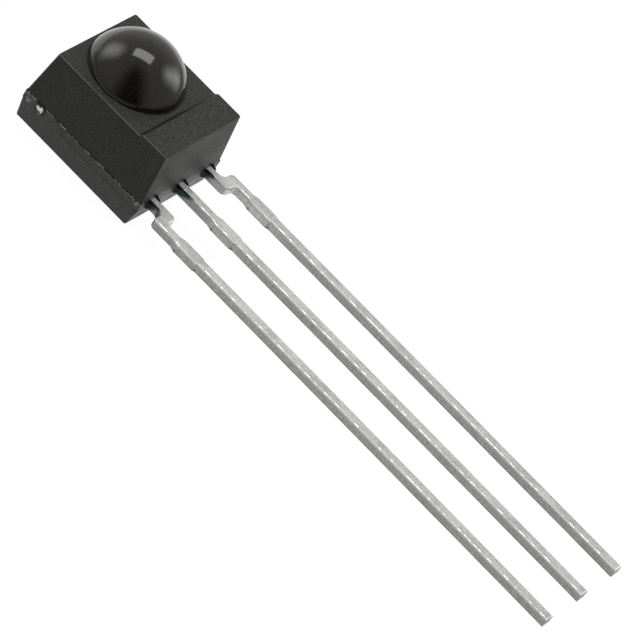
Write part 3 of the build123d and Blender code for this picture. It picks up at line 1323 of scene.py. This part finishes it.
@dataclass
class Studio:
    """Floor, light and camera."""

    camera_place: Triple = (-160.70 * MM, -56.87 * MM, 144.29 * MM)
    azimuth: float = -74.305
    elevation: float = 40.530
    roll: float = 35.109
    focal_length: float = 301.89
    sensor_width: float = 36.0
    clip: Span = (0.01, 20.0)
    floor_radius: float = 1.5
    floor_sides: int = 96
    floor_colour: Colour = (0.42, 0.42, 0.42)
    floor_seen_colour: Colour = (0.95, 0.95, 0.95)
    floor_glow: float = 1.06
    floor_own_light: float = 0.9
    near_light: float = 0.36
    near_reach: Span = (60 * MM, 15 * MM)
    far_side_light: float = 1.4
    far_side_reach: Span = (-6 * MM, 7 * MM)
    far_side_end: Span = (-8.0 * MM, -4.5 * MM)
    panel_place: Triple = (0.0585, 0.0608, 0.3)
    panel_size: tuple[float, float] = (0.198, 0.117)
    panel_turn: float = -71.4
    panel_power: float = 0.27
    softboxes: tuple[tuple[Patch, float], ...] = (
        (Patch(97.0, 27.0, 13.0, 17.0, 11.5, roll=-12.0), 2.2),
        (Patch(-38.0, 25.0, 9.0, 21.5, 13.0, roll=25.0), 2.8),
    )
    camera_shape: Patch = Patch(208.0, 30.0, 27.0, 47.0, 20.0, roll=10.5, taper=0.2)
    base_light: float = 0.435
    far_wall: Triple = (0.83, 0.56, 0.0)
    far_wall_light: float = 0.23

    def camera(self) -> None:
        """Sets the camera at the photograph's angle."""
        data = bpy.data.cameras.new("camera")
        data.sensor_width = self.sensor_width
        data.lens = self.focal_length
        data.clip_start, data.clip_end = self.clip
        made = bpy.data.objects.new("camera", data)
        bpy.context.scene.collection.objects.link(made)
        azimuth, elevation = math.radians(self.azimuth), math.radians(self.elevation)
        back = Vector((math.sin(azimuth), -math.cos(azimuth), 0)) * math.cos(elevation)
        back.z = math.sin(elevation)
        level = (-back).to_track_quat("-Z", "Y")
        made.rotation_mode = "QUATERNION"
        made.location = self.camera_place
        made.rotation_quaternion = level @ Quaternion((0, 0, 1), math.radians(self.roll))
        bpy.context.scene.camera = made

    def floor(self) -> None:
        """Lays the pale floor that the part rests on."""
        bm = bmesh.new()
        bmesh.ops.create_circle(bm, cap_ends=True, segments=self.floor_sides, radius=self.floor_radius)
        material = bpy.data.materials.new("pale_floor")
        material.use_nodes = True
        shader = Shader(material.node_tree)
        seen, mirrored, through = (
            shader.node("ShaderNodeLightPath", output=f"Is {kind} Ray")
            for kind in ("Camera", "Glossy", "Transmission")
        )
        place = shader.place()
        distance = shader.node("ShaderNodeVectorMath", {"operation": "LENGTH"}, {0: place}, "Value")
        far_side = shader.step(shader.axis(place, "X"), *self.far_side_reach)
        far_side = far_side * shader.step(shader.axis(place, "Y"), *self.far_side_end)
        gloss_light = shader.step(distance, *self.near_reach) * self.near_light
        gloss_light = gloss_light + far_side * self.far_side_light
        own_share = seen * self.floor_own_light + (mirrored + through) * gloss_light
        paint = shader.colour_between(seen, self.floor_colour, self.floor_seen_colour)
        matt = shader.node("ShaderNodeBsdfDiffuse", inputs={"Color": paint})
        own = shader.node("ShaderNodeEmission", inputs={"Color": WHITE, "Strength": self.floor_glow})
        mixed = shader.node("ShaderNodeMixShader", inputs={0: own_share, 1: matt, 2: own})
        shader.node("ShaderNodeOutputMaterial", inputs={"Surface": mixed})
        object_from(bm, "floor", (material,))

    def panel(self) -> None:
        """Hangs the softbox panel over the part."""
        data = bpy.data.lights.new("panel", "AREA")
        data.shape = "RECTANGLE"
        data.size, data.size_y = self.panel_size
        data.energy = self.panel_power
        made = bpy.data.objects.new("panel", data)
        made.location = self.panel_place
        made.rotation_euler = (0, 0, math.radians(self.panel_turn))
        bpy.context.scene.collection.objects.link(made)

    def surroundings(self) -> None:
        """Lights the part from around: a pale tent with two softboxes, and the camera's dark shape."""
        world = bpy.data.worlds.new("studio")
        world.use_nodes = True
        bpy.context.scene.world = world
        shader = Shader(world.node_tree)
        direction = shader.node("ShaderNodeTexCoord", output="Generated")
        facing = shader.vector_math("DOT_PRODUCT", direction, self.far_wall, "Value").math("MAXIMUM", 0.0)
        strength = facing * facing * self.far_wall_light + self.base_light
        for patch, light in self.softboxes:
            strength = strength + patch.share(shader, direction) * light
        strength = strength * (1 - self.camera_shape.share(shader, direction))
        seen = shader.node("ShaderNodeLightPath", output="Is Camera Ray")
        strength = strength * (1 - seen) + seen
        light = shader.node("ShaderNodeBackground", inputs={"Color": WHITE, "Strength": strength})
        shader.node("ShaderNodeOutputWorld", inputs={"Surface": light})

    def build(self) -> None:
        """Sets up the whole studio."""
        self.camera()
        self.floor()
        self.panel()
        self.surroundings()
        bpy.context.scene.view_settings.view_transform = "Standard"


def main() -> None:
    """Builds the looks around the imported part."""
    logging.basicConfig(level=logging.INFO, format="%(name)s: %(message)s")
    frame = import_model()
    Studio().build()
    log.info("set up the studio")
    finishes = (MattMould(), PolishedLens(), FlashResin())
    package = Package().build(*(finish.material() for finish in finishes))
    log.info("built %s with %d faces", package.name, len(package.data.polygons))
    Conductors().dress(frame["nodes"])


if __name__ == "__main__":
    main()
